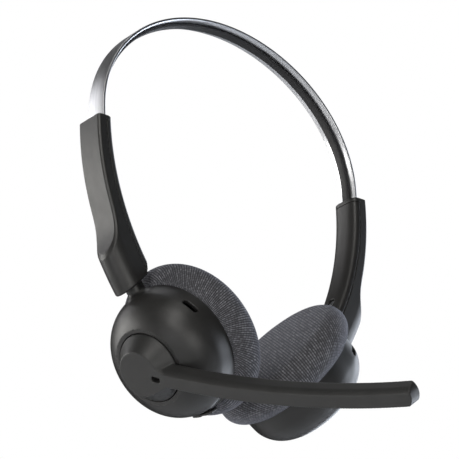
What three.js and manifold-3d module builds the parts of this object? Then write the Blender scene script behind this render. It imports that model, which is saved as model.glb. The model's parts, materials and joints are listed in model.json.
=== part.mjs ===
// On-ear office headset with one boom microphone: sprung steel headband, two sliding arms and two
// swivelling ear cups. Millimetres. +Z is up, -Y is the wearer's front and the boom is on the -X side,
// the wearer's right. The origin is the middle of the headband's underside, where it rests on the head.
import * as THREE from 'three';
import { mergeVertices } from 'three/addons/utils/BufferGeometryUtils.js';
import Module from 'manifold-3d';

// Headband: a slightly oval strip, its outer face at BAND_RADIUS + two small cosine terms.
const BAND_RADIUS = 66;
const BAND_OVAL = 4.8;
const BAND_SQUARENESS = 0.24;
const BAND_THICKNESS = 1.3;
const BAND_WIDTH = 10.2;
const BAND_END_Z = -30;
const LINER_THICKNESS = 1.4;
const LINER_WIDTH = 4.3;
const LINER_END_Z = -28;
const CABLE_WIDTH = 2.0;
const CABLE_THICKNESS = 0.4;
const FIT_GAP = 0.3;

// Arms: one section carried along an arc, then cut by the long outer facet.
const ARM_TOP_Z = -4.2;
const ARM_ARC_RADIUS = 118;
const ARM_INNER_X = 66.9;
const ARM_HALF_WIDTH = 7;
const ARM_DEPTH = 16.7;
const ARM_CROWN_DEPTH = 3.9;
const ARM_END_ANGLE = 36;
const FACET_DEPTH = 7.9;
const FACET_SLOPE = 0.05;
const SCOOP_ANGLE = 17;
const SCOOP_RATE = 0.0083;
const COLLAR_HEIGHT = 2;
const SCREW_ANGLE = 26.4;
const SCREW_HEAD_RADIUS = 2.2;

// Ear cups: local +Z points out of the head, +Y runs up along the swivel axis.
const CUP_TILT = THREE.MathUtils.degToRad(37.06);
const CUP_X = 30.35;
const CUP_Z = -95.08;
const RIM_RADIUS = 27.5;
const SKIRT_HEIGHT = 7.4;
const DOME_BASE_H = 2.5;
const DOME_RADIUS = 27.6;
const BOOM_DOME_HEIGHT = 23.4;
const PLAIN_DOME_HEIGHT = 21.8;
const DOME_POWER = 2.6;
const WALL = 1.8;
const CAP_RADIUS = 9.6;
const PAD_RADIUS = 33.6;
const PAD_ROUND = 8.1;
const PAD_CENTRE_H = -6.7;
const PAD_BACK_H = -1.9;
const SWIVEL_H = 6.1;
const ARM_FOOT_Y = 33.2;
const FOOT_INNER_H = -2.2;
const FOOT_TILT = THREE.MathUtils.degToRad(10);
const NECK_RADIUS = 3.9;
const PIN_RADIUS = 2.35;
const BUSH_RADIUS = 4.9;
const SPEAKER_RADIUS = 16;

// Boom: a hub on the cup's axis and a bar on a shallow arc in the hub's plane.
const HUB_TOP_H = 27.9;
const HUB_BASE_RADIUS = 14.6;
const HUB_RECESS_RADIUS = 14.95;
const HUB_LAND_RADIUS = 16.5;
const HUB_LAND_H = 21;
const HUB_RECESS_H = 19.1;
const AXLE_RADIUS = 4.2;
const BOOM_START_ANGLE = THREE.MathUtils.degToRad(-31.85);
const BOOM_ARC_RADIUS = 431;
const BOOM_LENGTH = 130;
const BOOM_THICKNESS = 6.1;
const BOOM_LOW_EDGE = -2.85;
const BOOM_FACE_EDGE = 2.35;
const BOOM_BEVEL = 1.5;
const BOOM_HIGH_EDGE = 5.1;
const BOOM_TIP_RADIUS = 5.5;

// Controls and openings on the cups: places around the rim are angles from the wearer's front.
const VENT_ANGLE = 30;
const VENT_H = 7;
const VENT_LENGTH = 7.2;
const VENT_WIDTH = 2.6;
const SOCKET_ANGLE = -73;
const SOCKET_H = 5;
const ROCKER_ANGLE = -96.5;
const ROCKER_SPAN = 23;
const ROCKER_H = 3.7;
const ROCKER_WIDTH = 4.2;
const BUTTON_ANGLE = 215;
const LIGHT_ANGLE = 200;

const wasm = await Module();
wasm.setup();

const degrees = THREE.MathUtils.degToRad;

// ---- solids -------------------------------------------------------------------------------------

function signedVolume(position, triangles) {
  const a = new THREE.Vector3();
  const b = new THREE.Vector3();
  const c = new THREE.Vector3();
  let volume = 0;
  for (let i = 0; i < triangles.length; i += 3) {
    a.fromBufferAttribute(position, triangles[i]);
    b.fromBufferAttribute(position, triangles[i + 1]);
    c.fromBufferAttribute(position, triangles[i + 2]);
    volume += a.dot(b.cross(c)) / 6;
  }
  return volume;
}

function toSolid(geometry) {
  const bare = geometry.clone();
  bare.deleteAttribute('normal');
  bare.deleteAttribute('uv');
  const merged = mergeVertices(bare, 1e-4);
  const position = merged.attributes.position;
  const triangles = [];
  for (let i = 0; i < merged.index.count; i += 3) {
    const corners = [0, 1, 2].map((k) => merged.index.getX(i + k));
    if (new Set(corners).size === 3) {
      triangles.push(...corners);
    }
  }
  if (signedVolume(position, triangles) < 0) {
    triangles.reverse();
  }
  const mesh = new wasm.Mesh({
    numProp: 3,
    vertProperties: new Float32Array(position.array),
    triVerts: new Uint32Array(triangles),
  });
  return new wasm.Manifold(mesh);
}

function toGeometry(solid) {
  const mesh = solid.getMesh();
  const geometry = new THREE.BufferGeometry();
  geometry.setAttribute('position', new THREE.BufferAttribute(new Float32Array(mesh.vertProperties), 3));
  geometry.setIndex(new THREE.BufferAttribute(new Uint32Array(mesh.triVerts), 1));
  geometry.computeVertexNormals();
  return geometry;
}

function joined(...solids) {
  return solids.reduce((sum, solid) => sum.add(solid));
}

function cut(solid, ...tools) {
  return tools.reduce((left, tool) => left.subtract(tool), solid);
}

function box(low, high) {
  const size = high.map((value, i) => value - low[i]);
  const middle = high.map((value, i) => (value + low[i]) / 2);
  const geometry = new THREE.BoxGeometry(...size);
  return toSolid(geometry.translate(...middle));
}

// A solid of revolution about +Z from [radius, height] pairs.
function turned(profile, segments = 28) {
  const points = profile.map(([radius, height]) => new THREE.Vector2(radius, height));
  const geometry = new THREE.LatheGeometry(points, segments);
  return toSolid(geometry.rotateX(Math.PI / 2));
}

function ring(inner, outer, low, high, segments = 20) {
  return turned([[inner, low], [outer, low], [outer, high], [inner, high], [inner, low]], segments);
}

function disc(radius, low, high, segments = 20) {
  return turned([[0, low], [radius, low], [radius, high], [0, high]], segments);
}

// The same turned shapes about the swivel axis, which is +Y at height SWIVEL_H in the cup.
function onSwivelAxis(profile, segments = 20) {
  const points = profile.map(([radius, height]) => new THREE.Vector2(radius, height));
  const geometry = new THREE.LatheGeometry(points, segments);
  return toSolid(geometry.translate(0, 0, SWIVEL_H));
}

// A bar from one point to another, with a round section.
function rod(from, to, radius, segments = 12) {
  const start = new THREE.Vector3(...from);
  const end = new THREE.Vector3(...to);
  const along = end.clone().sub(start);
  const geometry = new THREE.CylinderGeometry(radius, radius, along.length(), segments);
  const turn = new THREE.Quaternion().setFromUnitVectors(new THREE.Vector3(0, 1, 0), along.normalize());
  geometry.applyQuaternion(turn);
  const middle = start.add(end).multiplyScalar(0.5);
  return toSolid(geometry.translate(middle.x, middle.y, middle.z));
}

// A slot with round ends, length along X, width along Y, from z = low to z = high.
function roundedSlot(length, width, low, high) {
  const shape = new THREE.Shape();
  const half = (length - width) / 2;
  shape.absarc(half, 0, width / 2, -Math.PI / 2, Math.PI / 2, false);
  shape.absarc(-half, 0, width / 2, Math.PI / 2, Math.PI * 1.5, false);
  const geometry = new THREE.ExtrudeGeometry(shape, { depth: high - low, bevelEnabled: false, curveSegments: 4 });
  return toSolid(geometry.translate(0, 0, low));
}

function moved(solid, matrix) {
  const geometry = toGeometry(solid);
  return toSolid(geometry.applyMatrix4(matrix));
}

// Places a piece drawn with X round the rim, Y out of the head and Z radially outwards.
function onRim(solid, angle, height) {
  const turn = degrees(angle);
  const radial = new THREE.Vector3(Math.cos(turn), Math.sin(turn), 0);
  const outward = new THREE.Vector3(0, 0, 1);
  const around = new THREE.Vector3().crossVectors(outward, radial);
  const matrix = new THREE.Matrix4().makeBasis(around, outward, radial);
  matrix.setPosition(0, 0, height);
  return moved(solid, matrix);
}

// A flat shape drawn in the XZ plane, given a width along Y.
function upright(points, width) {
  const shape = new THREE.Shape(points.map(([x, z]) => new THREE.Vector2(x, z)));
  const geometry = new THREE.ExtrudeGeometry(shape, { depth: width, bevelEnabled: false });
  geometry.rotateX(Math.PI / 2);
  return toSolid(geometry.translate(0, width / 2, 0));
}

// ---- materials ----------------------------------------------------------------------------------

function finish(color, roughness, metalness) {
  return () => new THREE.MeshStandardMaterial({ color, roughness, metalness });
}

const charcoalPlastic = finish(0x2b2b2c, 0.42, 0);
const boomPlastic = finish(0x2d2d2d, 0.5, 0);
const linerRubber = finish(0x1f1f20, 0.65, 0);
const knitFabric = finish(0x3c3d42, 0.95, 0);
const springSteel = finish(0xc9cbcf, 0.28, 1);
const darkMetal = finish(0x4a4b4e, 0.4, 1);
const nylon = finish(0x161617, 0.6, 0);
const boardGreen = finish(0x1c4a34, 0.55, 0);
const batteryFoil = finish(0xa9abae, 0.35, 1);
const lightLens = finish(0xd8dadc, 0.3, 0);

function add(group, name, solid, material) {
  const mesh = new THREE.Mesh(toGeometry(solid), material());
  mesh.name = name;
  group.add(mesh);
}

// ---- headband -----------------------------------------------------------------------------------

function bandRadiusAt(angle) {
  return BAND_RADIUS + BAND_OVAL * Math.cos(2 * angle) + BAND_SQUARENESS * Math.cos(4 * angle);
}

const BAND_SIDE_X = bandRadiusAt(0);
const BAND_CROWN_Z = bandRadiusAt(Math.PI / 2);
const LINER_OFFSET = BAND_THICKNESS + 0.2;
const HEAD_REST_Z = BAND_CROWN_Z - LINER_OFFSET - LINER_THICKNESS;

// An arch that follows the band at a depth below its outer face, with straight legs down to endZ.
function arch(depth, thickness, width, endZ, steps = 36) {
  const outer = [[BAND_SIDE_X - depth, endZ]];
  const inner = [[BAND_SIDE_X - depth - thickness, endZ]];
  for (let i = 0; i <= steps; i += 1) {
    const angle = (Math.PI * i) / steps;
    const radius = bandRadiusAt(angle) - depth;
    outer.push([radius * Math.cos(angle), radius * Math.sin(angle)]);
    inner.push([(radius - thickness) * Math.cos(angle), (radius - thickness) * Math.sin(angle)]);
  }
  outer.push([-BAND_SIDE_X + depth, endZ]);
  inner.push([-BAND_SIDE_X + depth + thickness, endZ]);
  return upright([...outer, ...inner.reverse()], width);
}

// The clip on each end of the strip that keeps it in its arm. side is -1 or 1.
function bandStop(side) {
  const edges = [side * (BAND_SIDE_X + 0.7), side * (BAND_SIDE_X - BAND_THICKNESS - 0.7)].sort((a, b) => a - b);
  const block = box([edges[0], -5.7, BAND_END_Z - 0.9], [edges[1], 5.7, BAND_END_Z + 3.2]);
  const strip = arch(-FIT_GAP, BAND_THICKNESS + 2 * FIT_GAP, BAND_WIDTH + 2 * FIT_GAP, BAND_END_Z - FIT_GAP);
  const halfLiner = LINER_WIDTH / 2 + FIT_GAP;
  const liner = box([-BAND_SIDE_X, -halfLiner, BAND_END_Z + 1.5], [BAND_SIDE_X, halfLiner, BAND_END_Z + 5]);
  const passing = [side * (BAND_SIDE_X + 0.1), side * (BAND_SIDE_X + 2)].sort((a, b) => a - b);
  const springGroove = box([passing[0], -2.4, BAND_END_Z - 2], [passing[1], 2.4, BAND_END_Z + 5]);
  return cut(block, strip, liner, springGroove);
}

function headband() {
  const group = new THREE.Group();
  add(group, 'headband_spring', arch(0, BAND_THICKNESS, BAND_WIDTH, BAND_END_Z), springSteel);
  const groove = arch(LINER_OFFSET - 0.5, 1.2, CABLE_WIDTH + 2 * FIT_GAP, LINER_END_Z - 1);
  const liner = cut(arch(LINER_OFFSET, LINER_THICKNESS, LINER_WIDTH, LINER_END_Z), groove);
  add(group, 'headband_liner', liner, linerRubber);
  const cable = arch(LINER_OFFSET + 0.1, CABLE_THICKNESS, CABLE_WIDTH, LINER_END_Z);
  add(group, 'headband_flat_cable', cable, nylon);
  add(group, 'right_band_stop', bandStop(-1), nylon);
  add(group, 'left_band_stop', bandStop(1), nylon);
  return group;
}

// ---- arms, drawn for the -X side ----------------------------------------------------------------

// A point of the arm: depth is measured outwards from the inner crown, angle down from the top.
function armPoint(depth, angle) {
  const radius = ARM_ARC_RADIUS + depth;
  const x = ARM_INNER_X - ARM_ARC_RADIUS + radius * Math.cos(degrees(angle));
  return [-x, ARM_TOP_Z - radius * Math.sin(degrees(angle))];
}

// Full section: a gently crowned inner face, flat sides and a half-round outer face.
function armSection() {
  const shape = new THREE.Shape();
  const steps = 8;
  for (let i = 0; i <= steps; i += 1) {
    const turn = -Math.PI / 2 + (Math.PI * i) / steps;
    const across = ARM_HALF_WIDTH * Math.sign(Math.sin(turn)) * Math.abs(Math.sin(turn)) ** (2 / 3);
    const depth = ARM_CROWN_DEPTH * (1 - Math.abs(Math.cos(turn)) ** (2 / 3));
    if (i === 0) {
      shape.moveTo(across, depth);
    } else {
      shape.lineTo(across, depth);
    }
  }
  shape.absarc(0, ARM_DEPTH - ARM_HALF_WIDTH, ARM_HALF_WIDTH, 0, Math.PI, false);
  return shape;
}

function armBody() {
  const stations = [];
  for (let i = 0; i <= 12; i += 1) {
    const [x, z] = armPoint(0, (ARM_END_ANGLE * i) / 12);
    stations.push(new THREE.Vector3(x, 0, z));
  }
  const path = new THREE.CatmullRomCurve3(stations);
  const options = { steps: 14, extrudePath: path, curveSegments: 5 };
  return toSolid(new THREE.ExtrudeGeometry(armSection(), options));
}

// The part of the arm's plane between two depths, over a range of angles.
function armLayer(innerDepth, outerDepth, fromAngle, toAngle, steps = 14) {
  const inner = [];
  const outer = [];
  for (let i = 0; i <= steps; i += 1) {
    const angle = fromAngle + ((toAngle - fromAngle) * i) / steps;
    inner.push(armPoint(typeof innerDepth === 'function' ? innerDepth(angle) : innerDepth, angle));
    outer.push(armPoint(outerDepth, angle));
  }
  return upright([...inner, ...outer.reverse()], 3 * ARM_HALF_WIDTH);
}

// How deep the arm is at the facet, which runs out of the half-round face in a scoop.
function facetDepth(angle) {
  const scoop = Math.max(0, angle - SCOOP_ANGLE) ** 3;
  return FACET_DEPTH + FACET_SLOPE * angle + SCOOP_RATE * scoop;
}

function cupMatrix() {
  const front = new THREE.Vector3(0, -1, 0);
  const up = new THREE.Vector3(-Math.sin(CUP_TILT), 0, Math.cos(CUP_TILT));
  const out = new THREE.Vector3(-Math.cos(CUP_TILT), 0, -Math.sin(CUP_TILT));
  const matrix = new THREE.Matrix4().makeBasis(front, up, out);
  return matrix.setPosition(-CUP_X, 0, CUP_Z);
}

// Everything below the arm's foot, which slopes down from its inner edge to its outer one.
function belowFoot() {
  const block = box([-40, -50, -50], [40, 0, 70]);
  const slope = new THREE.Matrix4().makeRotationX(FOOT_TILT).setPosition(0, ARM_FOOT_Y, FOOT_INNER_H);
  return moved(moved(block, slope), cupMatrix());
}

function swivelPocket() {
  const mouth = ARM_FOOT_Y - 4;
  const pocket = onSwivelAxis([[0, mouth], [5.2, mouth], [5.2, 42.2], [0, 42.2]]);
  return moved(pocket, cupMatrix());
}

function wirePassage() {
  const top = new THREE.Vector3(-BAND_SIDE_X + 1.2, 0, BAND_END_Z);
  const foot = new THREE.Vector3(0, 41, SWIVEL_H).applyMatrix4(cupMatrix());
  return rod(foot.toArray(), top.toArray(), 1.3);
}

// The slot for the strip and its liner, wider below the collar so that the band stop can run in it.
function bandChannel() {
  const innerFace = BAND_SIDE_X - BAND_THICKNESS;
  const linerFace = BAND_SIDE_X - LINER_OFFSET - LINER_THICKNESS;
  const floorZ = BAND_END_Z - 1.3;
  const strip = box([-BAND_SIDE_X - 0.35, -5.45, floorZ], [-innerFace + 0.35, 5.45, 2]);
  const liner = box([-innerFace - 0.1, -2.5, floorZ], [-linerFace + 0.35, 2.5, 2]);
  const run = box([-BAND_SIDE_X - 1, -6, floorZ], [-innerFace + 1, 6, ARM_TOP_Z - COLLAR_HEIGHT - 0.1]);
  const springSeat = box([-BAND_SIDE_X - 1.9, -2.6, -22], [-BAND_SIDE_X, 2.6, -9]);
  return joined(strip, liner, run, springSeat);
}

function screwHole(shank, head) {
  const [x, z] = armPoint(-1, SCREW_ANGLE);
  const [seatX, seatZ] = armPoint(2.3, SCREW_ANGLE);
  const [endX, endZ] = armPoint(5.7, SCREW_ANGLE);
  const wide = rod([x, 0, z], [seatX, 0, seatZ], head);
  const narrow = rod([seatX, 0, seatZ], [endX, 0, endZ], shank, 8);
  return joined(wide, narrow);
}

function armScrew() {
  const [headX, headZ] = armPoint(0.9, SCREW_ANGLE);
  const [seatX, seatZ] = armPoint(2.1, SCREW_ANGLE);
  const [endX, endZ] = armPoint(5.4, SCREW_ANGLE);
  const [slotX, slotZ] = armPoint(1.5, SCREW_ANGLE);
  const head = rod([headX, 0, headZ], [seatX, 0, seatZ], SCREW_HEAD_RADIUS);
  const shank = rod([headX, 0, headZ], [endX, 0, endZ], 0.8, 8);
  const socket = rod([headX - (slotX - headX), 0, headZ - (slotZ - headZ)], [slotX, 0, slotZ], 0.9, 6);
  return cut(joined(head, shank), socket);
}

// A bowed leaf in the arm that rubs on the strip and holds the length the wearer sets.
function slideSpring() {
  const back = -BAND_SIDE_X - 1.75;
  const shape = new THREE.Shape();
  shape.moveTo(back, -21.5);
  shape.quadraticCurveTo(back + 2.5, -15.5, back, -9.5);
  shape.lineTo(back + 0.3, -9.5);
  shape.quadraticCurveTo(back + 2.8, -15.5, back + 0.3, -21.5);
  const geometry = new THREE.ExtrudeGeometry(shape, { depth: 4, bevelEnabled: false, curveSegments: 5 });
  geometry.rotateX(Math.PI / 2);
  return toSolid(geometry.translate(0, 2, 0));
}

function arm(side) {
  const group = new THREE.Group();
  const facetCutter = armLayer(facetDepth, ARM_DEPTH + 12, -3, 28, 20);
  const body = cut(armBody(), facetCutter, belowFoot(), swivelPocket(), wirePassage(), bandChannel());
  const split = ARM_CROWN_DEPTH;
  const collarAngle = THREE.MathUtils.radToDeg(COLLAR_HEIGHT / (ARM_ARC_RADIUS + split));
  const outerPart = armLayer(split + 0.1, ARM_DEPTH + 20, -4, 40);
  const collar = armLayer(-6, split + 0.4, -4, collarAngle, 4);
  const coverPart = armLayer(-8, split - 0.1, collarAngle + 0.1, 40);
  const housing = cut(body.intersect(joined(outerPart, collar)), screwHole(1.0, 1.0));
  add(group, `${side}_arm_housing`, housing, charcoalPlastic);
  const cover = cut(body.intersect(coverPart), screwHole(1.1, 2.5));
  add(group, `${side}_arm_inner_cover`, cover, charcoalPlastic);
  add(group, `${side}_arm_screw`, armScrew(), springSteel);
  add(group, `${side}_slide_spring`, slideSpring(), springSteel);
  const bush = onSwivelAxis([[PIN_RADIUS + 0.3, 33.5], [BUSH_RADIUS, 33.5], [BUSH_RADIUS, 38.4],
    [PIN_RADIUS + 0.3, 38.4], [PIN_RADIUS + 0.3, 33.5]]);
  add(group, `${side}_swivel_bush`, moved(bush, cupMatrix()), nylon);
  return group;
}

// ---- ear cups -----------------------------------------------------------------------------------

function domeRadiusAt(height, domeHeight) {
  const rise = (height - DOME_BASE_H) / (domeHeight - DOME_BASE_H);
  return DOME_RADIUS * (1 - rise ** DOME_POWER) ** (1 / DOME_POWER);
}

function domeHeightAt(radius, domeHeight) {
  const inset = (radius / DOME_RADIUS) ** DOME_POWER;
  return DOME_BASE_H + (domeHeight - DOME_BASE_H) * (1 - inset) ** (1 / DOME_POWER);
}

// The outer curve from the rim up its straight skirt and over the dome to a given radius.
function domeCurve(endRadius, domeHeight) {
  const points = [[RIM_RADIUS, 0], [domeRadiusAt(SKIRT_HEIGHT, domeHeight), SKIRT_HEIGHT]];
  const turnHeight = 15.6;
  for (let height = SKIRT_HEIGHT + 2.7; height < turnHeight - 1; height += 2.7) {
    points.push([domeRadiusAt(height, domeHeight), height]);
  }
  for (let radius = domeRadiusAt(turnHeight, domeHeight); radius > endRadius + 1; radius -= 3.6) {
    points.push([radius, domeHeightAt(radius, domeHeight)]);
  }
  points.push([endRadius, domeHeightAt(endRadius, domeHeight)]);
  return points;
}

function shellInside() {
  const wide = RIM_RADIUS - WALL;
  return [[17.5, 15.8], [21, 14.4], [24.5, 10.5], [wide, 6], [wide, 0], [RIM_RADIUS, 0]];
}

function neck() {
  return onSwivelAxis([[0, 25.9], [6.0, 25.9], [6.0, 27.1], [4.7, 28.3], [4.1, 29.6], [NECK_RADIUS, 31],
    [NECK_RADIUS, ARM_FOOT_Y - FIT_GAP], [0, ARM_FOOT_Y - FIT_GAP]]);
}

function neckBore() {
  const radius = PIN_RADIUS + 0.3;
  return onSwivelAxis([[0, 23], [radius, 23], [radius, 36], [0, 36]]);
}

function ventSlot(angle) {
  return onRim(roundedSlot(VENT_LENGTH, VENT_WIDTH, 23, 30), angle, VENT_H);
}

function boomCupShell() {
  const profile = [...domeCurve(HUB_LAND_RADIUS, BOOM_DOME_HEIGHT), [HUB_LAND_RADIUS, HUB_LAND_H],
    [HUB_RECESS_RADIUS, HUB_LAND_H], [HUB_RECESS_RADIUS, HUB_RECESS_H],
    [AXLE_RADIUS + 0.3, HUB_RECESS_H], [AXLE_RADIUS + 0.3, 15.8], ...shellInside()];
  const shell = joined(turned(profile, 36), neck());
  const socketWindow = onRim(roundedSlot(9.6, 3.8, 23, 30), SOCKET_ANGLE, SOCKET_H);
  const rockerWindow = onRim(box([-3, -1.9, 23], [3, 1.9, 30]), ROCKER_ANGLE, ROCKER_H);
  const buttonHole = onRim(disc(2.8, 23, 30, 16), BUTTON_ANGLE, 5.6);
  const lightHole = onRim(disc(1.2, 23, 30, 10), LIGHT_ANGLE, 5.6);
  return cut(shell, neckBore(), ventSlot(VENT_ANGLE), socketWindow, rockerWindow, buttonHole, lightHole);
}

function plainCupShell() {
  const flatHeight = domeHeightAt(CAP_RADIUS, PLAIN_DOME_HEIGHT);
  const profile = [...domeCurve(CAP_RADIUS, PLAIN_DOME_HEIGHT), [0, flatHeight], [0, flatHeight - 2.2],
    [CAP_RADIUS, flatHeight - 2.2], [14, 17.4], ...shellInside()];
  const shell = joined(turned(profile, 36), neck());
  return cut(shell, neckBore(), ventSlot(180 - VENT_ANGLE));
}

function baffle() {
  const plate = disc(RIM_RADIUS - WALL - FIT_GAP, 0.2, 2.2, 32);
  const holes = [disc(1.5, -1, 4, 8)];
  for (let i = 0; i < 8; i += 1) {
    const turn = (Math.PI * i) / 4;
    const hole = disc(1.5, -1, 4, 8);
    holes.push(moved(hole, new THREE.Matrix4().makeTranslation(7 * Math.cos(turn), 7 * Math.sin(turn), 0)));
  }
  return cut(plate, ...holes, baffleScrewHole(20.5), baffleScrewHole(-20.5));
}

function baffleScrewHole(y) {
  return rod([0, y, -2], [0, y, 4], 1.3, 8);
}

function baffleScrew(y) {
  const head = rod([0, y, -0.9], [0, y, 0], 2.1);
  const shank = rod([0, y, -0.5], [0, y, 6.5], 0.9, 8);
  const socket = rod([0, y, -2], [0, y, -0.5], 0.8, 6);
  return cut(joined(head, shank), socket);
}

function speakerFrame() {
  return turned([[9, 6], [9, 4.9], [14, 2.5], [SPEAKER_RADIUS, 2.5], [SPEAKER_RADIUS, 3.6], [12, 6], [9, 6]]);
}

function speakerCone() {
  return turned([[0, 4.2], [5, 4.4], [7, 3.8], [12.8, 2.7], [7, 3.5], [5, 4.1], [0, 3.9]]);
}

function earCushion() {
  const centre = PAD_RADIUS - PAD_ROUND;
  const profile = [[0, -13.9], [14, -14.5]];
  for (let turn = -90; turn <= 60; turn += 25) {
    const x = centre + PAD_ROUND * Math.cos(degrees(turn));
    profile.push([x, PAD_CENTRE_H + PAD_ROUND * Math.sin(degrees(turn))]);
  }
  profile.push([RIM_RADIUS + 0.5, 0.3], [RIM_RADIUS + 0.5, PAD_BACK_H], [0, PAD_BACK_H]);
  return turned(profile, 36);
}

function swivelParts(group, side) {
  const low = 26.2;
  const high = 41;
  const bore = 1.3;
  const pin = onSwivelAxis([[bore, low], [PIN_RADIUS, low], [PIN_RADIUS, high], [bore, high], [bore, low]]);
  add(group, `${side}_swivel_pin`, pin, darkMetal);
  const inner = PIN_RADIUS + 0.1;
  const clip = onSwivelAxis([[inner, 38.7], [4.5, 38.7], [4.5, 39.7], [inner, 39.7], [inner, 38.7]]);
  add(group, `${side}_swivel_clip`, clip, darkMetal);
}

function cupCommon(group, side, ventAngle) {
  swivelParts(group, side);
  add(group, `${side}_baffle`, baffle(), nylon);
  add(group, `${side}_upper_baffle_screw`, baffleScrew(20.5), darkMetal);
  add(group, `${side}_lower_baffle_screw`, baffleScrew(-20.5), darkMetal);
  add(group, `${side}_speaker_frame`, speakerFrame(), nylon);
  add(group, `${side}_speaker_cone`, speakerCone(), batteryFoil);
  add(group, `${side}_speaker_magnet`, disc(8, 6.3, 10.8), darkMetal);
  add(group, `${side}_cushion_ring`, ring(23.6, 27.2, -1.6, -0.2, 28), nylon);
  add(group, `${side}_ear_cushion`, earCushion(), knitFabric);
  const mesh = onRim(roundedSlot(VENT_LENGTH + 0.4, VENT_WIDTH + 0.4, 23.8, 24.2), ventAngle, VENT_H);
  add(group, `${side}_vent_mesh`, mesh, nylon);
}

// ---- boom ---------------------------------------------------------------------------------------

// A point of the boom in the hub's plane: distance from the hub's centre and offset across the bar.
function boomPoint(distance, across) {
  const heading = BOOM_START_ANGLE + distance / BOOM_ARC_RADIUS;
  const x = BOOM_ARC_RADIUS * (Math.sin(heading) - Math.sin(BOOM_START_ANGLE)) - across * Math.sin(heading);
  const y = BOOM_ARC_RADIUS * (Math.cos(BOOM_START_ANGLE) - Math.cos(heading)) + across * Math.cos(heading);
  return new THREE.Vector2(x, y);
}

// A section carried along the boom, given as [depth below the outer face, offset across] pairs.
function boomSweep(section, from, to, steps = 10) {
  const stations = [];
  for (let i = 0; i <= steps; i += 1) {
    const point = boomPoint(from + ((to - from) * i) / steps, 0);
    stations.push(new THREE.Vector3(point.x, point.y, HUB_TOP_H));
  }
  const shape = new THREE.Shape(section.map(([depth, across]) => new THREE.Vector2(depth, across)));
  const options = { steps, extrudePath: new THREE.CatmullRomCurve3(stations) };
  return toSolid(new THREE.ExtrudeGeometry(shape, options));
}

// The bar's outline seen from outside, with its rounded tip.
function boomOutline() {
  const points = [];
  const steps = 12;
  const straightEnd = BOOM_LENGTH - 1.9;
  for (let i = 0; i <= steps; i += 1) {
    points.push(boomPoint((straightEnd * i) / steps, BOOM_LOW_EDGE - 1));
  }
  const middle = (BOOM_LOW_EDGE + BOOM_HIGH_EDGE) / 2;
  for (let turn = -45; turn <= 45; turn += 9) {
    const along = BOOM_LENGTH - BOOM_TIP_RADIUS + BOOM_TIP_RADIUS * Math.cos(degrees(turn));
    points.push(boomPoint(along, middle + BOOM_TIP_RADIUS * Math.sin(degrees(turn))));
  }
  for (let i = steps; i >= 0; i -= 1) {
    points.push(boomPoint((straightEnd * i) / steps, BOOM_HIGH_EDGE + 1));
  }
  const geometry = new THREE.ExtrudeGeometry(new THREE.Shape(points), { depth: 10, bevelEnabled: false });
  return toSolid(geometry.translate(0, 0, HUB_TOP_H - 8));
}

function boomBar() {
  const section = [[0, BOOM_LOW_EDGE], [0, BOOM_FACE_EDGE], [BOOM_BEVEL, BOOM_FACE_EDGE + BOOM_BEVEL],
    [BOOM_THICKNESS, BOOM_HIGH_EDGE], [BOOM_THICKNESS, BOOM_LOW_EDGE]];
  return boomSweep(section, 3, BOOM_LENGTH + 2).intersect(boomOutline());
}

function boomHub() {
  return turned([[0, HUB_TOP_H], [CAP_RADIUS, HUB_TOP_H], [HUB_BASE_RADIUS, HUB_TOP_H - 6.7],
    [HUB_BASE_RADIUS, HUB_TOP_H - 8.4], [AXLE_RADIUS, HUB_TOP_H - 8.4], [AXLE_RADIUS, 14.4], [0, 14.4]]);
}

// The short web that widens the bar into the hub, narrower at the face than at its foot.
function boomWeb() {
  const face = [[6, 5.4], [13.2, 2.3], [13.4, -2.8], [6, -7.2]];
  const foot = [[6, 7.2], [13.3, 4.0], [12.6, -5.6], [6, -11.5]];
  const top = face.map(([along, across]) => [...boomPoint(along, across).toArray(), HUB_TOP_H]);
  const bottom = foot.map(([along, across]) => [...boomPoint(along, across).toArray(), HUB_TOP_H - BOOM_THICKNESS]);
  return wasm.Manifold.hull([...top, ...bottom]);
}

function hubPort() {
  const place = boomPoint(8.4, -0.4);
  const matrix = new THREE.Matrix4().makeRotationZ(BOOM_START_ANGLE);
  matrix.setPosition(place.x, place.y, 0);
  return moved(roundedSlot(4.0, 2.1, HUB_TOP_H - 3, HUB_TOP_H + 1), matrix);
}

function capsule(radius, distance, across, low, high) {
  const place = boomPoint(distance, across);
  const matrix = new THREE.Matrix4().makeTranslation(place.x, place.y, 0);
  return moved(disc(radius, low, high, 14), matrix);
}

function boom() {
  const group = new THREE.Group();
  const wireBore = disc(1.8, 13, HUB_TOP_H - 2, 12);
  const channel = boomSweep([[2, -2], [2, 3], [7, 3], [7, -2]], 14.2, BOOM_LENGTH - 5);
  const hubChannel = boomSweep([[2, -1.8], [2, 1.8], [5, 1.8], [5, -1.8]], 0, 15, 4);
  const shell = cut(joined(boomHub(), boomBar(), boomWeb()), wireBore, channel, hubChannel, hubPort());
  add(group, 'boom_arm', shell, boomPlastic);
  const cover = boomSweep([[4.9, -1.7], [4.9, 2.7], [5.9, 2.7], [5.9, -1.7]], 15, BOOM_LENGTH - 5.4);
  const micPort = capsule(0.6, BOOM_LENGTH - 10, 0.5, 19, 25.3);
  add(group, 'boom_back_cover', cut(cover, micPort), boomPlastic);
  add(group, 'boom_microphone', capsule(1.9, BOOM_LENGTH - 10, 0.5, 23.5, 25.5), darkMetal);
  add(group, 'hub_microphone', capsule(1.5, 8.4, -0.2, 23.2, 24.7), darkMetal);
  add(group, 'boom_retainer', ring(AXLE_RADIUS + 0.1, 7, 14.2, 15.0), darkMetal);
  return group;
}

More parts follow.
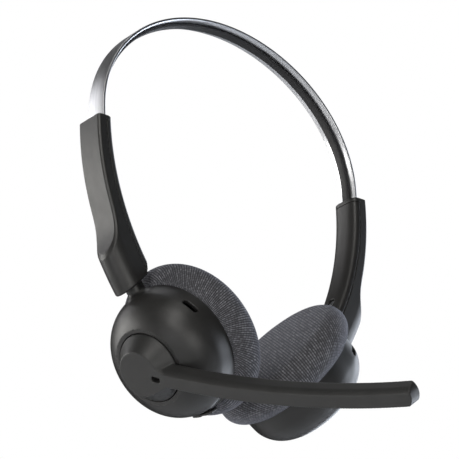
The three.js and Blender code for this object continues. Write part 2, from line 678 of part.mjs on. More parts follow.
function rocker() {
  const shape = new THREE.Shape();
  const inner = RIM_RADIUS + 0.4;
  const outer = RIM_RADIUS + 1.8;
  const half = degrees(ROCKER_SPAN / 2);
  shape.absarc(0, 0, outer, -half, half, false);
  shape.absarc(0, 0, inner, half, -half, true);
  const options = { depth: ROCKER_WIDTH, bevelEnabled: false, curveSegments: 5 };
  const geometry = new THREE.ExtrudeGeometry(shape, options);
  geometry.rotateZ(degrees(ROCKER_ANGLE));
  const pad = toSolid(geometry.translate(0, 0, ROCKER_H - ROCKER_WIDTH / 2));
  const stem = onRim(box([-2.2, -1.4, 24.2], [2.2, 1.4, inner + 0.6]), ROCKER_ANGLE, ROCKER_H);
  return joined(pad, stem);
}

function chargingSocket() {
  const can = roundedSlot(8.9, 3.2, 19.8, 27);
  const mouth = roundedSlot(8.3, 2.6, 20.6, 28);
  const tongue = box([-3.3, -0.35, 20.2], [3.3, 0.35, 26]);
  return onRim(joined(cut(can, mouth), tongue), SOCKET_ANGLE, SOCKET_H);
}

// ---- assembly -----------------------------------------------------------------------------------

function boomCup() {
  const group = new THREE.Group();
  add(group, 'right_cup_shell', boomCupShell(), charcoalPlastic);
  cupCommon(group, 'right', VENT_ANGLE);
  add(group, 'boom_wave_washer', ring(AXLE_RADIUS + 0.5, 6.6, 15.2, 15.6), springSteel);
  add(group, 'main_board', ring(3, 17, 11.4, 12.6, 24), boardGreen);
  const chargeBoard = onRim(box([-7, -0.5, 13], [7, 0.5, 24]), SOCKET_ANGLE, 7.5);
  add(group, 'charging_board', chargeBoard, boardGreen);
  add(group, 'charging_socket', chargingSocket(), springSteel);
  add(group, 'volume_rocker', rocker(), charcoalPlastic);
  add(group, 'power_button', onRim(disc(2.4, 24.6, 28.6, 16), BUTTON_ANGLE, 5.6), charcoalPlastic);
  add(group, 'status_light', onRim(disc(0.9, 24.6, 27.4, 10), LIGHT_ANGLE, 5.6), lightLens);
  group.add(boom());
  return group;
}

function plainCup() {
  const group = new THREE.Group();
  add(group, 'left_cup_shell', plainCupShell(), charcoalPlastic);
  cupCommon(group, 'left', 180 - VENT_ANGLE);
  add(group, 'battery', box([-12, -7.5, 11.4], [12, 7.5, 14.6]), batteryFoil);
  return group;
}

// Both sides are drawn on the -X side; the left one is then turned half round.
function sideAssembly(side, cup) {
  const group = new THREE.Group();
  group.add(arm(side));
  cup.applyMatrix4(cupMatrix());
  group.add(cup);
  return group;
}

const headset = new THREE.Group();
headset.position.z = -HEAD_REST_Z;
headset.add(headband());
headset.add(sideAssembly('right', boomCup()));
const leftSide = sideAssembly('left', plainCup());
leftSide.rotation.z = Math.PI;
headset.add(leftSide);

const group = new THREE.Group();
group.add(headset);

export default group;
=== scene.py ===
import json
import math

import bmesh
import bpy
import numpy as np
from mathutils import Matrix, Vector


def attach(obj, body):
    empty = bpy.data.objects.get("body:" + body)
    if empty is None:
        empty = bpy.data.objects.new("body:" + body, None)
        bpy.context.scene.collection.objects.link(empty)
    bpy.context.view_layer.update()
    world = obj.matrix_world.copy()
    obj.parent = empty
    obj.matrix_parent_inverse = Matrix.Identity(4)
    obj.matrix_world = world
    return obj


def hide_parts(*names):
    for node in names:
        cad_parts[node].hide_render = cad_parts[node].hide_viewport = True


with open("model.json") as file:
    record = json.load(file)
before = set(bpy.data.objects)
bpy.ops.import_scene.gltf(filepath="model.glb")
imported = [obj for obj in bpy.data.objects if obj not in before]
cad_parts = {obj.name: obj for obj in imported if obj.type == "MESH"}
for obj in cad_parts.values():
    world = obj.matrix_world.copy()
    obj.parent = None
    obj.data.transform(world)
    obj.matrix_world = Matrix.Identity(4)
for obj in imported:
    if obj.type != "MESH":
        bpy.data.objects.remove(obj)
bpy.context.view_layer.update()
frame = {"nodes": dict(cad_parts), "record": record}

# Lengths are millimetres in the headset's drawing frame; the part's own frame is in metres with its
# origin at the crown's underside, HEAD_REST_Z above the drawing's origin.
HEAD_REST_Z = 58.54
STEP = 0.4
ARM_STEP = 0.8 * STEP
SMALL_STEP = 0.6 * STEP
COVER_STEP = 0.7 * STEP
FIT_GAP = 0.3

BAND_RADIUS = 66.0
BAND_OVAL = 4.8
BAND_SQUARENESS = 0.24
BAND_SIDE_X = BAND_RADIUS + BAND_OVAL + BAND_SQUARENESS
BAND_END_Z = -30.0
BAND_WIDTH = 10.2
BAND_THICKNESS = 1.3
LINER_OFFSET = 1.5
LINER_THICKNESS = 1.4
LINER_WIDTH = 3.7

ARM_TOP_Z = -4.2
ARM_ARC_RADIUS = 118.0
ARM_INNER_X = 66.9
ARM_HALF_WIDTH = 7.0
ARM_DEPTH = 16.7
ARM_CROWN_DEPTH = 3.9
ARM_FOOT_Y = 33.2
FOOT_INNER_H = -2.2
FOOT_TILT = math.radians(10)
FACET_DEPTH = 7.9
FACET_SLOPE = 0.05
FACET_BEVEL = 0.85
SCOOP_ANGLE = 17.0
SCOOP_RATE = 0.0083
COLLAR_HEIGHT = 2.0
SEAM_HALF = 0.12
CHANNEL_GAP = 0.35
POCKET_RADIUS = 5.2
POCKET_TOP_Y = 42.2
SCREW_ANGLE = 26.4

CUP_TILT = math.radians(37.06)
CUP_X = 30.35
CUP_Z = -95.08
RIM_RADIUS = 27.5
RIM_CUT_RADIUS = 23.0
DOME_BASE_H = 2.5
DOME_RADIUS = 27.6
BOOM_DOME_HEIGHT = 23.4
PLAIN_DOME_HEIGHT = 21.8
DOME_POWER = 2.6
BOOM_HOLLOW_TOP = 15.8
PLAIN_HOLLOW_TOP = 17.4
WALL = 1.8
CAP_RADIUS = 9.6
CAP_RISE = (1 - (CAP_RADIUS / DOME_RADIUS) ** DOME_POWER) ** (1 / DOME_POWER)
CAP_HEIGHT = DOME_BASE_H + (PLAIN_DOME_HEIGHT - DOME_BASE_H) * CAP_RISE
SWIVEL_H = 6.1
NECK_RADIUS = 3.9
VENT_ANGLE = 30.0
VENT_H = 7.0
SOCKET_ANGLE = -73.0
SOCKET_H = 5.0
ROCKER_ANGLE = -96.5
ROCKER_HALF_SPAN = math.radians(11.5)
ROCKER_H = 3.7
BUTTON_ANGLE = 215.0
LIGHT_ANGLE = 200.0
BUTTON_H = 5.6

HUB_TOP_H = 27.9
HUB_BASE_RADIUS = 14.6
HUB_CONE_DEPTH = 6.7
HUB_DEPTH = 8.4
HUB_RECESS_RADIUS = 14.95
HUB_LAND_RADIUS = 16.5
HUB_LAND_H = 21.0
HUB_RECESS_H = 19.1
AXLE_RADIUS = 4.2
AXLE_END_H = 14.4
RETAINER_RADIUS = 1.8
BOOM_START = math.radians(-31.85)
BOOM_ARC_RADIUS = 431.0
BOOM_LENGTH = 130.0
BOOM_LOW = -2.85
BOOM_FACE = 2.35
BOOM_BEVEL = 1.5
BOOM_DEPTH = 6.1
SIDE_LEAN = 0.27
TIP_RADIUS = 5.5
CHANNEL_MIDDLE = 0.5

PAD_RADIUS = 33.6
PAD_ROUND = 8.1
PAD_CENTRE_H = -6.7
PAD_BACK_H = -1.9
PAD_FRONT_H = -14.05
RIBS_TURN = {"right": 15, "left": 40}
LOOP_WIDTH = 1.12
LOOP_LENGTH = 1.35

FLOOR_Z = -0.62
CAMERA_AZIMUTH = math.radians(-41.1032)
CAMERA_ELEVATION = math.radians(-24.2082)
CAMERA_ROLL = math.radians(-2.7901)
CAMERA_PLACE = (-0.576823, -0.659807, -0.487702)
CAMERA_LENS = 177.65


# ---- meshes ----------------------------------------------------------------------------------

def make_mesh(name, points, faces, normals=None):
    """A smooth-shaded mesh from arrays; points are in metres."""
    mesh = bpy.data.meshes.new(name)
    mesh.from_pydata(points.tolist(), [], faces.tolist() if hasattr(faces, "tolist") else faces)
    mesh.shade_smooth()
    if normals is not None:
        mesh.normals_split_custom_set_from_vertices(normals.tolist())
    mesh.validate()
    return mesh


def make_object(name, mesh, matrix=None):
    piece = bpy.data.objects.new(name, mesh)
    bpy.context.scene.collection.objects.link(piece)
    if matrix is not None:
        piece.matrix_world = matrix
    return piece


def to_part(points):
    return (points - np.array([0.0, 0.0, HEAD_REST_Z])) * 0.001


def cup_axes():
    """Columns: front, up and out of a right-hand cup, in the drawing frame."""
    s, c = math.sin(CUP_TILT), math.cos(CUP_TILT)
    return np.array([[0, -s, -c], [-1, 0, 0], [0, c, -s]], dtype=float)


def cup_matrix(side):
    """The cup's own frame as an object matrix in the part's frame. side is 'right' or 'left'."""
    axes = cup_axes()
    origin = np.array([-CUP_X, 0.0, CUP_Z - HEAD_REST_Z]) * 0.001
    matrix = Matrix.Identity(4)
    turn = -1.0 if side == "left" else 1.0
    for row in range(3):
        flip = turn if row < 2 else 1.0
        for column in range(3):
            matrix[row][column] = flip * axes[row][column]
        matrix[row][3] = flip * origin[row]
    return matrix


def cup_local(points):
    return (points - np.array([-CUP_X, 0.0, CUP_Z])) @ cup_axes()


# ---- solids as fields: negative inside, about a distance in millimetres -------------------------

def hypot(a, b):
    return np.sqrt(a * a + b * b)


def meet(a, b, edge=0.0):
    """Where both solids are, with a rounded outer edge."""
    if edge == 0:
        return np.maximum(a, b)
    return np.minimum(-edge, np.maximum(a, b)) + hypot(np.maximum(a + edge, 0), np.maximum(b + edge, 0))


def unite(a, b, fillet=0.0):
    """Both solids together, with a fillet in the inner corner."""
    if fillet == 0:
        return np.minimum(a, b)
    corner = hypot(np.maximum(fillet - a, 0), np.maximum(fillet - b, 0))
    return np.maximum(fillet, np.minimum(a, b)) - corner


def without(a, b, edge=0.0):
    return meet(a, -b, edge)


def bevelled(a, b, leg, edge):
    """Where both solids are, with a flat bevel on the outer edge and its two edges rounded."""
    return meet(meet(a, b, edge), (a + b + leg) / math.sqrt(2), edge)


def crowned(u, v, a, b, power):
    """A superellipse's corner, u and v from its centre."""
    p = np.maximum(u, 0) / a
    q = np.maximum(v, 0) / b
    size = (p ** power + q ** power) ** (1 / power) + 1e-9
    slope = hypot((p / size) ** (power - 1) / a, (q / size) ** (power - 1) / b) + 1e-9
    return (size - 1) / slope


def block(points, low, high):
    low = np.array(low)
    high = np.array(high)
    out = np.abs(points - (low + high) / 2) - (high - low) / 2
    return np.linalg.norm(np.maximum(out, 0), axis=1) + np.minimum(out.max(axis=1), 0)


def between(value, low, high):
    """A slab: negative from low to high."""
    return np.abs(value - (low + high) / 2) - (high - low) / 2


def slot(a, b, length, width):
    """A flat slot with round ends, long in a."""
    return hypot(np.maximum(np.abs(a) - (length - width) / 2, 0), b) - width / 2


def swivel_radius(local):
    return hypot(local[:, 0], local[:, 2] - SWIVEL_H)


def on_rim(local, angle):
    """Distance round the rim and outwards from the cup's axis, at an angle from the front."""
    turn = math.radians(angle)
    outwards = local[:, 0] * math.cos(turn) + local[:, 1] * math.sin(turn)
    around = -local[:, 0] * math.sin(turn) + local[:, 1] * math.cos(turn)
    return around, outwards


def sample_field(field, low, high, step, size=6):
    """Samples on a grid, fine only in the blocks that the surface may pass through."""
    span = step * size
    counts = np.ceil((high - low) / span).astype(int) + 1
    index = np.stack(np.meshgrid(*[np.arange(n) for n in counts], indexing="ij"), axis=-1).reshape(-1, 3)
    centres = low + (index + 0.5) * span - step / 2
    coarse = field(centres)
    near = np.abs(coarse) < span * 0.87 * 1.5 + step
    values = coarse.reshape(counts)
    for axis in range(3):
        values = np.repeat(values, size, axis=axis)
    local = np.stack(np.meshgrid(*[np.arange(size)] * 3, indexing="ij"), axis=-1).reshape(-1, 3)
    fine = (index[near][:, None, :] * size + local[None]).reshape(-1, 3)
    values[fine[:, 0], fine[:, 1], fine[:, 2]] = field(low + fine * step)
    return values


def gradient(field, points, reach=0.02):
    slopes = []
    for axis in range(3):
        shift = np.zeros(3)
        shift[axis] = reach
        slopes.append(field(points + shift) - field(points - shift))
    return np.stack(slopes, axis=1) / (2 * reach)


def surface(field, low, high, step=None):
    """The field's zero surface as a quad mesh on the surface, with its exact normals."""
    step = step or STEP
    low = np.array(low, dtype=float)
    high = np.array(high, dtype=float)
    values = sample_field(field, low, high, step)
    inside = values < 0
    corners = [(i, j, k) for i in (0, 1) for j in (0, 1) for k in (0, 1)]
    shape = [n - 1 for n in values.shape]
    full = np.zeros(shape, dtype=np.int8)
    for i, j, k in corners:
        full += inside[i:i + shape[0], j:j + shape[1], k:k + shape[2]]
    cells = np.argwhere((full > 0) & (full < 8))
    number = -np.ones(shape, dtype=np.int64)
    number[tuple(cells.T)] = np.arange(len(cells))
    total = np.zeros((len(cells), 3))
    count = np.zeros(len(cells))
    for a in corners:
        for b in corners:
            if sum(np.subtract(b, a)) != 1 or min(np.subtract(b, a)) < 0:
                continue
            va = values[tuple((cells + a).T)]
            vb = values[tuple((cells + b).T)]
            crossed = (va < 0) != (vb < 0)
            share = np.where(crossed, va / np.where(crossed, va - vb, 1), 0)
            place = np.array(a) + share[:, None] * (np.array(b) - np.array(a))
            total += place * crossed[:, None]
            count += crossed
    points = low + (cells + total / count[:, None]) * step
    for _ in range(3):
        slope = gradient(field, points)
        amount = field(points) / np.maximum((slope ** 2).sum(axis=1), 0.05)
        points -= np.clip(amount, -step / 2, step / 2)[:, None] * slope
    normals = gradient(field, points)
    normals /= np.maximum(np.linalg.norm(normals, axis=1), 1e-9)[:, None]
    return points, np.concatenate(quads_of(inside, number)), normals


def quads_of(inside, number):
    """One quad for each grid edge that crosses the surface."""
    quads = []
    for axis in range(3):
        u, v = (axis + 1) % 3, (axis + 2) % 3
        first = [slice(0, n) for n in inside.shape]
        second = list(first)
        first[axis] = slice(0, inside.shape[axis] - 1)
        second[axis] = slice(1, inside.shape[axis])
        edge = np.argwhere(inside[tuple(first)] != inside[tuple(second)])
        edge = edge[(edge[:, u] > 0) & (edge[:, v] > 0)]
        edge = edge[(edge[:, u] < number.shape[u]) & (edge[:, v] < number.shape[v])]
        step_u = np.zeros(3, dtype=int)
        step_v = np.zeros(3, dtype=int)
        step_u[u] = 1
        step_v[v] = 1
        ring = [edge - step_u - step_v, edge - step_v, edge, edge - step_u]
        quad = np.stack([number[tuple(c.T)] for c in ring], axis=1)
        outward = inside[tuple(edge.T)]
        quad[~outward] = quad[~outward][:, ::-1]
        quads.append(quad[(quad >= 0).all(axis=1)])
    return quads


def moulded(name, field, low, high, place, step=None):
    """A piece whose surface is a field's. place maps 'drawing' or a cup's side to its frame."""
    points, quads, normals = surface(field, low, high, step)
    if place == "drawing":
        return make_object(name, make_mesh(name, to_part(points), quads, normals))
    return make_object(name, make_mesh(name, points * 0.001, quads, normals), cup_matrix(place))


def half_turn(piece, name):
    """A copy of a piece of the right side, turned half round the headset's axis."""
    mesh = piece.data.copy()
    mesh.name = name
    return make_object(name, mesh, Matrix.Rotation(math.pi, 4, "Z") @ piece.matrix_world)


# ---- arms ------------------------------------------------------------------------------------

def arm_place(points):
    """Depth out from the inner crown, the angle down from the arm's top, and the arc's radius there."""
    across = -points[:, 0] - (ARM_INNER_X - ARM_ARC_RADIUS)
    down = ARM_TOP_Z - points[:, 2]
    radius = hypot(across, down)
    return radius - ARM_ARC_RADIUS, np.arctan2(down, across), radius


def arm_outside(points):
    depth, angle, radius = arm_place(points)
    y = points[:, 1]
    crown = crowned(np.abs(y), ARM_CROWN_DEPTH - depth, ARM_HALF_WIDTH, ARM_CROWN_DEPTH, 3)
    round_centre = ARM_DEPTH - ARM_HALF_WIDTH
    wall = np.abs(y) - ARM_HALF_WIDTH
    round_face = hypot(y, depth - round_centre) - ARM_HALF_WIDTH
    section = np.where(depth > round_centre, round_face, np.where(depth < ARM_CROWN_DEPTH, crown, wall))
    degrees = np.degrees(angle)
    scoop = np.maximum(degrees - SCOOP_ANGLE, 0)
    facet = FACET_DEPTH + FACET_SLOPE * degrees + SCOOP_RATE * scoop ** 3
    slope = (FACET_SLOPE + 3 * SCOOP_RATE * scoop ** 2) / (math.pi / 180 * radius)
    face = (depth - facet) / np.sqrt(1 + slope ** 2)
    solid = bevelled(section, face, FACET_BEVEL, 0.22)
    solid = meet(solid, points[:, 2] - ARM_TOP_Z, 0.45)
    local = cup_local(points)
    over_foot = ARM_FOOT_Y - local[:, 1]
    over_foot = math.cos(FOOT_TILT) * over_foot - math.sin(FOOT_TILT) * (local[:, 2] - FOOT_INNER_H)
    return meet(solid, over_foot, 1.0)


def arm_hollows(points):
    """The band's channel, the run of its end stop, the slide spring's seat and the swivel's pocket."""
    x = -BAND_SIDE_X
    floor_z = BAND_END_Z - 1.3
    inner = x + BAND_THICKNESS + CHANNEL_GAP
    liner_inner = x + LINER_OFFSET + LINER_THICKNESS + CHANNEL_GAP
    run_top = ARM_TOP_Z - COLLAR_HEIGHT - 0.1
    channel = block(points, [x - CHANNEL_GAP, -5.45, floor_z], [inner, 5.45, 2])
    liner = block(points, [x + 1.2, -2.5, floor_z], [liner_inner, 2.5, 2])
    run = block(points, [x - 0.9, -6, floor_z], [x + BAND_THICKNESS + 1, 6, run_top])
    seat = block(points, [x - 1.9, -2.6, -22], [x, 2.6, -9])
    local = cup_local(points)
    pocket = meet(swivel_radius(local) - POCKET_RADIUS, between(local[:, 1], ARM_FOOT_Y - 4, POCKET_TOP_Y))
    return np.minimum.reduce([channel, liner, run, seat, pocket])


def arm_screw_hole(points):
    """A recess for the screw's head with a narrower hole for its shank."""
    depth, angle, radius = arm_place(points)
    along = (angle - math.radians(SCREW_ANGLE)) * radius
    off = hypot(along, points[:, 1])
    head = meet(off - 2.5, depth - 2.3)
    shank = meet(off - 1.1, depth - 5.7)
    return np.minimum(head, shank)


def cover_region(points):
    """Where the inner cover is: under the crown, and below the collar."""
    depth, angle, radius = arm_place(points)
    return np.maximum(depth - ARM_CROWN_DEPTH, COLLAR_HEIGHT - angle * radius)


def arm_housing(points):
    solid = meet(arm_outside(points), SEAM_HALF - cover_region(points), 0.14)
    solid = without(solid, arm_hollows(points), 0.12)
    return without(solid, arm_screw_hole(points))


def arm_inner_cover(points):
    solid = meet(arm_outside(points), cover_region(points) + SEAM_HALF, 0.14)
    solid = without(solid, arm_hollows(points), 0.12)
    return without(solid, arm_screw_hole(points), 0.25)


# ---- cups, in their own frame: X front, Y up, Z out ----------------------------------------------

def dome(local, height):
    """The cup's outer form: a slightly drawn-in skirt under a superellipse of this height."""
    radius = hypot(local[:, 0], local[:, 1])
    rise = local[:, 2] - DOME_BASE_H
    crown = crowned(radius, rise, DOME_RADIUS, height - DOME_BASE_H, DOME_POWER)
    return meet(crown, radius - RIM_RADIUS + 0.02 * local[:, 2], 0.3)


def rim_opening(outline, outwards):
    """An opening of this outline through the skirt."""
    return np.maximum(outline, RIM_CUT_RADIUS - outwards)


def cup_shell(local, cap, hollow_top, vent_angle):
    outside = dome(local, PLAIN_DOME_HEIGHT if cap else BOOM_DOME_HEIGHT)
    hollow = meet(outside + WALL, local[:, 2] - hollow_top, 0.5)
    if cap:
        outside = meet(outside, local[:, 2] - CAP_HEIGHT, 1.2)
    stem = meet(swivel_radius(local) - NECK_RADIUS, local[:, 1] - (ARM_FOOT_Y - FIT_GAP), 0.3)
    stem = meet(stem, 22 - local[:, 1])
    solid = unite(outside, stem, 2.6)
    solid = meet(solid, -local[:, 2], 0.35)
    solid = np.maximum(solid, -hollow)
    around, outwards = on_rim(local, vent_angle)
    vent = slot(around, local[:, 2] - VENT_H, 7.2, 2.6)
    return without(solid, rim_opening(vent, outwards), 0.12)


def right_shell(local):
    solid = cup_shell(local, False, BOOM_HOLLOW_TOP, VENT_ANGLE)
    radius = hypot(local[:, 0], local[:, 1])
    land = np.maximum(radius - HUB_LAND_RADIUS, HUB_LAND_H - local[:, 2])
    solid = without(solid, land, 0.3)
    recess = np.maximum(radius - HUB_RECESS_RADIUS, HUB_RECESS_H - local[:, 2])
    solid = without(solid, recess, 0.12)
    solid = np.maximum(solid, AXLE_RADIUS + FIT_GAP - radius)
    around, outwards = on_rim(local, SOCKET_ANGLE)
    window = slot(around, local[:, 2] - SOCKET_H, 9.6, 3.8)
    solid = without(solid, rim_opening(window, outwards), 0.3)
    around, outwards = on_rim(local, ROCKER_ANGLE)
    gap = np.maximum(np.abs(around) - 3, np.abs(local[:, 2] - ROCKER_H) - 1.9)
    solid = without(solid, rim_opening(gap, outwards), 0.2)
    for angle, hole_radius, edge in ((BUTTON_ANGLE, 2.8, 0.25), (LIGHT_ANGLE, 1.2, 0.2)):
        around, outwards = on_rim(local, angle)
        hole = hypot(around, local[:, 2] - BUTTON_H) - hole_radius
        solid = without(solid, rim_opening(hole, outwards), edge)
    return solid


def left_shell(local):
    return cup_shell(local, True, PLAIN_HOLLOW_TOP, 180 - VENT_ANGLE)


def rocker(local):
    """A bar bent round the rim, dished in the middle, on a stem that goes through the skirt."""
    around, outwards = on_rim(local, ROCKER_ANGLE)
    radius = hypot(local[:, 0], local[:, 1])
    turn = np.arctan2(around, outwards)
    lift = local[:, 2] - ROCKER_H
    crest_over_painted_valley_shade = RIM_RADIUS + 1.8 - 0.3 * np.exp(-(turn * radius / 1.2) ** 2)
    bar = meet(radius - crest_over_painted_valley_shade, RIM_RADIUS + 0.4 - radius, 0.3)
    bar = meet(bar, (np.abs(turn) - ROCKER_HALF_SPAN) * radius, 0.5)
    bar = meet(bar, np.abs(lift) - 2.1, 0.6)
    stem = np.maximum(np.abs(around) - 2.2, np.abs(lift) - 1.4)
    stem = np.maximum(stem, between(outwards, 24.2, 28.4))
    return np.minimum(bar, stem)


def power_button(local):
    """A round button with a shallow dish in its top."""
    around, outwards = on_rim(local, BUTTON_ANGLE)
    off = hypot(around, local[:, 2] - BUTTON_H)
    crest_over_painted_valley_shade = 28.6 - 0.35 * np.maximum(0, 1 - (off / 2.0) ** 2)
    return meet(off - 2.4, np.maximum(outwards - crest_over_painted_valley_shade, 24.6 - outwards), 0.3)


# ---- boom ------------------------------------------------------------------------------------

def boom_place(local):
    """Distance along the boom's centre line and offset across it."""
    x = local[:, 0] + BOOM_ARC_RADIUS * math.sin(BOOM_START)
    y = local[:, 1] - BOOM_ARC_RADIUS * math.cos(BOOM_START)
    heading = np.arctan2(x, -y)
    return (heading - BOOM_START) * BOOM_ARC_RADIUS, BOOM_ARC_RADIUS - hypot(x, y)


def leaning_wall(along, across, depth, direction, reach, lean):
    """A flat wall square to a direction in the boom's plane, leaning outwards with depth."""
    level = direction[0] * along + direction[1] * across - reach - lean * depth
    return level / math.sqrt(direction[0] ** 2 + direction[1] ** 2 + lean ** 2)


def boom_hub(local):
    """The cone on the cup's axis, with a short web that widens the bar into it."""
    along, across = boom_place(local)
    height = local[:, 2]
    depth = HUB_TOP_H - height
    radius = hypot(local[:, 0], local[:, 1])
    spread = HUB_BASE_RADIUS - CAP_RADIUS
    cone = (radius - CAP_RADIUS) * HUB_CONE_DEPTH - depth * spread
    cone = cone / math.hypot(HUB_CONE_DEPTH, spread)
    hub = meet(meet(cone, radius - HUB_BASE_RADIUS, 0.15), depth - HUB_DEPTH, 0.2)
    upper = leaning_wall(along, across, depth, (0.396, 0.918), 7.33, SIDE_LEAN)
    lower = leaning_wall(along, across, depth, (0.56, -0.83), 9.9, 0.6)
    web = meet(meet(upper, lower, 0.4), radius - 14.0, 0.2)
    web = np.maximum(web, np.maximum(6 - along, depth - BOOM_DEPTH))
    axle = np.maximum(radius - AXLE_RADIUS, between(height, AXLE_END_H, 20))
    return np.minimum(np.minimum(hub, web), axle)


def boom_bar(along, across, depth):
    """The bar's section, with its bevel and its leaning upper side, up to the rounded tip."""
    bevel = (across - BOOM_FACE - depth) / math.sqrt(2)
    side_reach = BOOM_FACE + BOOM_BEVEL - SIDE_LEAN * BOOM_BEVEL
    bar = meet(leaning_wall(along, across, depth, (0, 1), side_reach, SIDE_LEAN), bevel, 0.6)
    bar = meet(bar, depth - BOOM_DEPTH, 0.35)
    bar = meet(bar, BOOM_LOW - across, 0.35)
    start = BOOM_LENGTH - TIP_RADIUS
    rounded = hypot(along - start, across - 1.13) - TIP_RADIUS
    bar = meet(bar, np.where(along > start, rounded, along - BOOM_LENGTH), 0.5)
    return np.maximum(bar, 3 - along)


def boom_arm(local):
    along, across = boom_place(local)
    height = local[:, 2]
    depth = HUB_TOP_H - height
    radius = hypot(local[:, 0], local[:, 1])
    solid = unite(boom_hub(local), boom_bar(along, across, depth), 0.3)
    solid = meet(solid, -depth, 0.25)
    solid = np.maximum(solid, np.minimum(RETAINER_RADIUS - radius, HUB_TOP_H - 2 - height))
    port = meet(np.abs(along - 8.4) - 2.0, np.abs(across + 0.4) - 1.05, 0.5)
    solid = without(solid, np.maximum(port, depth - 2.6), 0.1)
    back = meet(np.abs(across - CHANNEL_MIDDLE) - 2.5, between(along, 14.2, 125))
    back = np.maximum(back, 3.4 - depth)
    return without(solid, back, 0.1)


def boom_back_cover(local):
    along, across = boom_place(local)
    depth = HUB_TOP_H - local[:, 2]
    plate = meet(np.abs(across - CHANNEL_MIDDLE) - 2.2, between(along, 15, 124.6), 0.8)
    plate = meet(plate, between(depth, 4.9, 5.9), 0.15)
    port = hypot(along - (BOOM_LENGTH - 10), across - CHANNEL_MIDDLE) - 0.6
    return without(plate, port, 0.15)


# ---- strips ----------------------------------------------------------------------------------

def band_radius(angle):
    return BAND_RADIUS + BAND_OVAL * math.cos(2 * angle) + BAND_SQUARENESS * math.cos(4 * angle)


def band_line(depth, end_z, steps=180):
    """Points and outward directions along the arch, with its straight legs."""
    leg = np.linspace(0, -end_z - 1.5, 24)
    places = [(BAND_SIDE_X - depth, end_z + climb) for climb in leg]
    for turn in np.linspace(0, math.pi, steps):
        radius = band_radius(turn) - depth
        places.append((radius * math.cos(turn), radius * math.sin(turn)))
    places += [(-BAND_SIDE_X + depth, -1.5 - drop) for drop in leg]
    line = np.array(places)
    run = np.gradient(line, axis=0)
    run /= np.linalg.norm(run, axis=1)[:, None]
    return line, np.stack([run[:, 1], -run[:, 0]], axis=1)


def rounded_section(width, thickness, edge, steps=5):
    """A rectangle with rounded corners: offsets across the strip and below its outer face."""
    points = []
    for sx, sd, start in [(1, 1, 0), (-1, 1, 90), (-1, -1, 180), (1, -1, 270)]:
        for i in range(steps + 1):
            turn = math.radians(start + 90 * i / steps)
            points.append((sx * (width / 2 - edge) + edge * math.cos(turn),
                           sd * (thickness / 2 - edge) + edge * math.sin(turn)))
    return np.array(points)


def strip(name, depth, thickness, width, edge, end_z):
    """A strip along the arch, its outer face at a depth under the band's."""
    line, outward = band_line(depth + thickness / 2, end_z)
    section = rounded_section(width, thickness, edge)
    count = len(section)
    points = []
    for place, out in zip(line, outward):
        for across, rise in section:
            points.append((place[0] + out[0] * rise, across, place[1] + out[1] * rise))
    faces = []
    for i in range(len(line) - 1):
        for j in range(count):
            k = (j + 1) % count
            faces.append((i * count + j, i * count + k, (i + 1) * count + k, (i + 1) * count + j))
    faces.append(tuple(range(count))[::-1])
    faces.append(tuple(range((len(line) - 1) * count, len(line) * count)))
    piece = make_object(name, make_mesh(name, to_part(np.array(points)), faces))
    outward_faces(piece)
    return piece


def outward_faces(piece):
    work = bmesh.new()
    work.from_mesh(piece.data)
    bmesh.ops.recalc_face_normals(work, faces=work.faces)
    work.to_mesh(piece.data)
    work.free()


# ---- cushions --------------------------------------------------------------------------------

def pad_profile():
    """The cover's half section from the middle of the front to the lip behind the rim."""
    points = [(r, PAD_FRONT_H - 0.75 * (r / 22.0) ** 2) for r in np.linspace(0, 21, 9)]
    centre = PAD_RADIUS - PAD_ROUND
    for turn in np.linspace(-98, 76, 19):
        points.append((centre + PAD_ROUND * math.cos(math.radians(turn)),
                       PAD_CENTRE_H + PAD_ROUND * math.sin(math.radians(turn))))
    points += [(27.4, 0.75), (26.9, -0.2), (26.7, -1.2), (26.0, -1.75)]
    points += [(r, PAD_BACK_H) for r in (22, 15, 7, 0)]
    return np.array(points)


def turned_mesh(name, profile, segments):
    """A closed quad mesh of revolution about Z with single poles; metres."""
    inner = profile[1:-1]
    points = [(0, 0, profile[0][1])]
    for radius, height in inner:
        for k in range(segments):
            turn = 2 * math.pi * k / segments
            points.append((radius * math.cos(turn), radius * math.sin(turn), height))
    points.append((0, 0, profile[-1][1]))
    faces = []
    last = len(points) - 1
    for k in range(segments):
        n = (k + 1) % segments
        faces.append((0, 1 + n, 1 + k))
        base = 1 + (len(inner) - 1) * segments
        faces.append((last, base + k, base + n))
        for i in range(len(inner) - 1):
            a = 1 + i * segments
            faces.append((a + k, a + n, a + segments + n, a + segments + k))
    return make_mesh(name, np.array(points) * 0.001, faces)


def apply_modifiers(piece):
    """Bakes a piece's modifiers into its mesh."""
    graph = bpy.context.evaluated_depsgraph_get()
    mesh = bpy.data.meshes.new_from_object(piece.evaluated_get(graph))
    old = piece.data
    piece.modifiers.clear()
    piece.data = mesh
    bpy.data.meshes.remove(old)


def grip_weights(rest):
    """How firmly the cup's rim holds each point of the cover, from 0 to 1."""
    radius = hypot(rest[:, 0], rest[:, 1])
    grip = np.clip(1 - hypot(radius - 0.0268, rest[:, 2] + 0.001) / 0.0035, 0, 1)
    return np.where((rest[:, 2] > -0.0028) & (radius < 0.0275), 1.0, grip)


